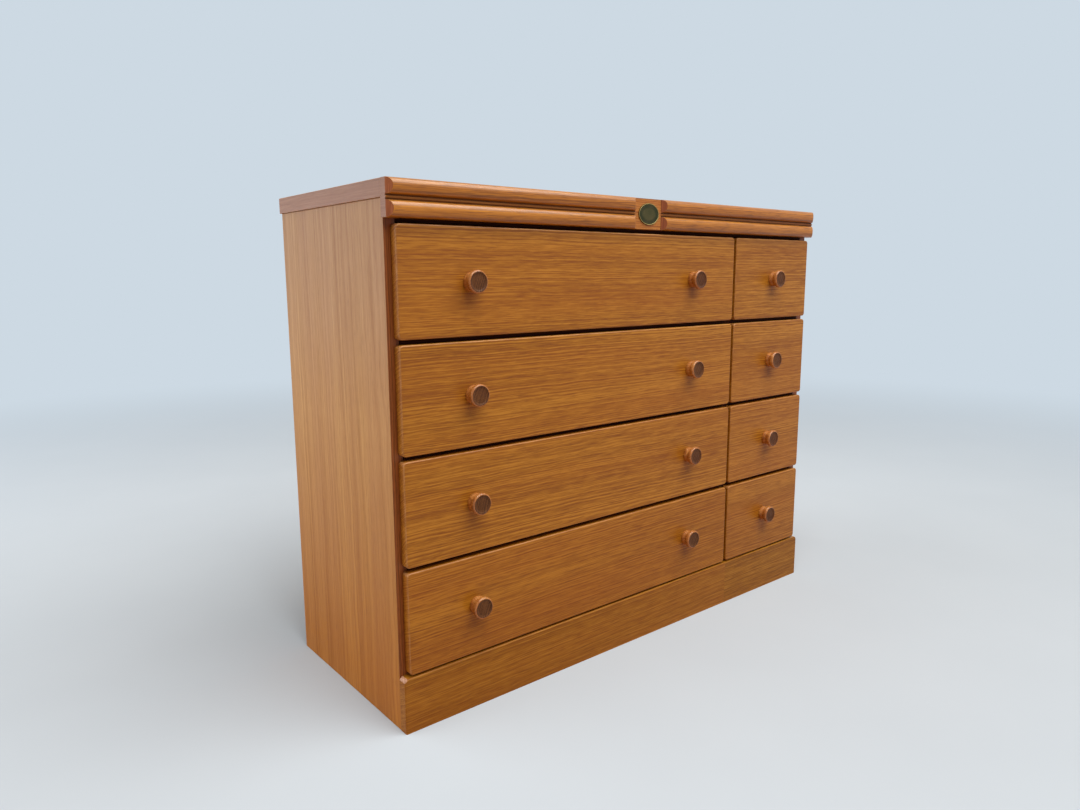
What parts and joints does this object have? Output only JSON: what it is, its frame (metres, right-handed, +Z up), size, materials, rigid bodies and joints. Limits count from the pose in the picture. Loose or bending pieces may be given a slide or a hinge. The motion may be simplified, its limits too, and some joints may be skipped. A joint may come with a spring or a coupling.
{
  "type": "low chest of drawers",
  "caption": "Low floor-standing wooden chest with wide and narrow drawers side by side, turned knobs, a double-bead top moulding and a plain plinth.",
  "frame": {"origin": "on the floor, at the centre of the footprint of the whole object, knobs included", "axes": "+Z up, the drawer fronts face -Y, +X to the right seen from the front"},
  "size_m": [1.005, 0.39, 0.798],
  "materials": {
    "front_veneer": "satin clear lacquer over straight-grained honey veneer, grain along X",
    "side_veneer": "satin clear lacquer over straight-grained veneer, grain along Z",
    "top_veneer": "satin clear lacquer over straight-grained veneer, grain along X",
    "moulding_wood": "lacquered solid moulding, grain along X",
    "knob_wood": "lacquered turned wood",
    "inner_wood": "sanded pale solid boards, unfinished",
    "plywood": "sanded thin plywood, unfinished",
    "rail_wood": "dark stained solid wood",
    "bronze_plate": "dark patinated, bright rim",
    "screw_steel": "zinc plated"
  },
  "bodies": {
    "case": {"side_panel_left": "side_veneer", "side_panel_right": "side_veneer", "centre_partition": "rail_wood", "top_panel": "top_veneer", "bottom_panel": "inner_wood", "back_panel": "plywood", "front_rails": "rail_wood", "drawer_runners": "inner_wood", "plinth_board": "front_veneer", "top_mouldings": "moulding_wood", "moulding_block": "moulding_wood", "medallion": "bronze_plate"},
    "wide_drawer_1": {"wide_drawer_1_front": "front_veneer", "wide_drawer_1_sides": "inner_wood", "wide_drawer_1_back": "inner_wood", "wide_drawer_1_bottom": "plywood", "wide_drawer_1_knobs": "knob_wood", "wide_drawer_1_screws": "screw_steel"},
    "wide_drawer_2": {"wide_drawer_2_front": "front_veneer", "wide_drawer_2_sides": "inner_wood", "wide_drawer_2_back": "inner_wood", "wide_drawer_2_bottom": "plywood", "wide_drawer_2_knobs": "knob_wood", "wide_drawer_2_screws": "screw_steel"},
    "wide_drawer_3": {"wide_drawer_3_front": "front_veneer", "wide_drawer_3_sides": "inner_wood", "wide_drawer_3_back": "inner_wood", "wide_drawer_3_bottom": "plywood", "wide_drawer_3_knobs": "knob_wood", "wide_drawer_3_screws": "screw_steel"},
    "wide_drawer_4": {"wide_drawer_4_front": "front_veneer", "wide_drawer_4_sides": "inner_wood", "wide_drawer_4_back": "inner_wood", "wide_drawer_4_bottom": "plywood", "wide_drawer_4_knobs": "knob_wood", "wide_drawer_4_screws": "screw_steel"},
    "narrow_drawer_1": {"narrow_drawer_1_front": "front_veneer", "narrow_drawer_1_sides": "inner_wood", "narrow_drawer_1_back": "inner_wood", "narrow_drawer_1_bottom": "plywood", "narrow_drawer_1_knobs": "knob_wood", "narrow_drawer_1_screws": "screw_steel"},
    "narrow_drawer_2": {"narrow_drawer_2_front": "front_veneer", "narrow_drawer_2_sides": "inner_wood", "narrow_drawer_2_back": "inner_wood", "narrow_drawer_2_bottom": "plywood", "narrow_drawer_2_knobs": "knob_wood", "narrow_drawer_2_screws": "screw_steel"},
    "narrow_drawer_3": {"narrow_drawer_3_front": "front_veneer", "narrow_drawer_3_sides": "inner_wood", "narrow_drawer_3_back": "inner_wood", "narrow_drawer_3_bottom": "plywood", "narrow_drawer_3_knobs": "knob_wood", "narrow_drawer_3_screws": "screw_steel"},
    "narrow_drawer_4": {"narrow_drawer_4_front": "front_veneer", "narrow_drawer_4_sides": "inner_wood", "narrow_drawer_4_back": "inner_wood", "narrow_drawer_4_bottom": "plywood", "narrow_drawer_4_knobs": "knob_wood", "narrow_drawer_4_screws": "screw_steel"}
  },
  "joints": [
    {"name": "wide_drawer_1_slide", "type": "slide", "parent": "case", "child": "wide_drawer_1", "axis": [0, -1, 0], "range_m": [0, 0.24]},
    {"name": "wide_drawer_2_slide", "type": "slide", "parent": "case", "child": "wide_drawer_2", "axis": [0, -1, 0], "range_m": [0, 0.24]},
    {"name": "wide_drawer_3_slide", "type": "slide", "parent": "case", "child": "wide_drawer_3", "axis": [0, -1, 0], "range_m": [0, 0.24]},
    {"name": "wide_drawer_4_slide", "type": "slide", "parent": "case", "child": "wide_drawer_4", "axis": [0, -1, 0], "range_m": [0, 0.24]},
    {"name": "narrow_drawer_1_slide", "type": "slide", "parent": "case", "child": "narrow_drawer_1", "axis": [0, -1, 0], "range_m": [0, 0.24]},
    {"name": "narrow_drawer_2_slide", "type": "slide", "parent": "case", "child": "narrow_drawer_2", "axis": [0, -1, 0], "range_m": [0, 0.24]},
    {"name": "narrow_drawer_3_slide", "type": "slide", "parent": "case", "child": "narrow_drawer_3", "axis": [0, -1, 0], "range_m": [0, 0.24]},
    {"name": "narrow_drawer_4_slide", "type": "slide", "parent": "case", "child": "narrow_drawer_4", "axis": [0, -1, 0], "range_m": [0, 0.24]}
  ]
}
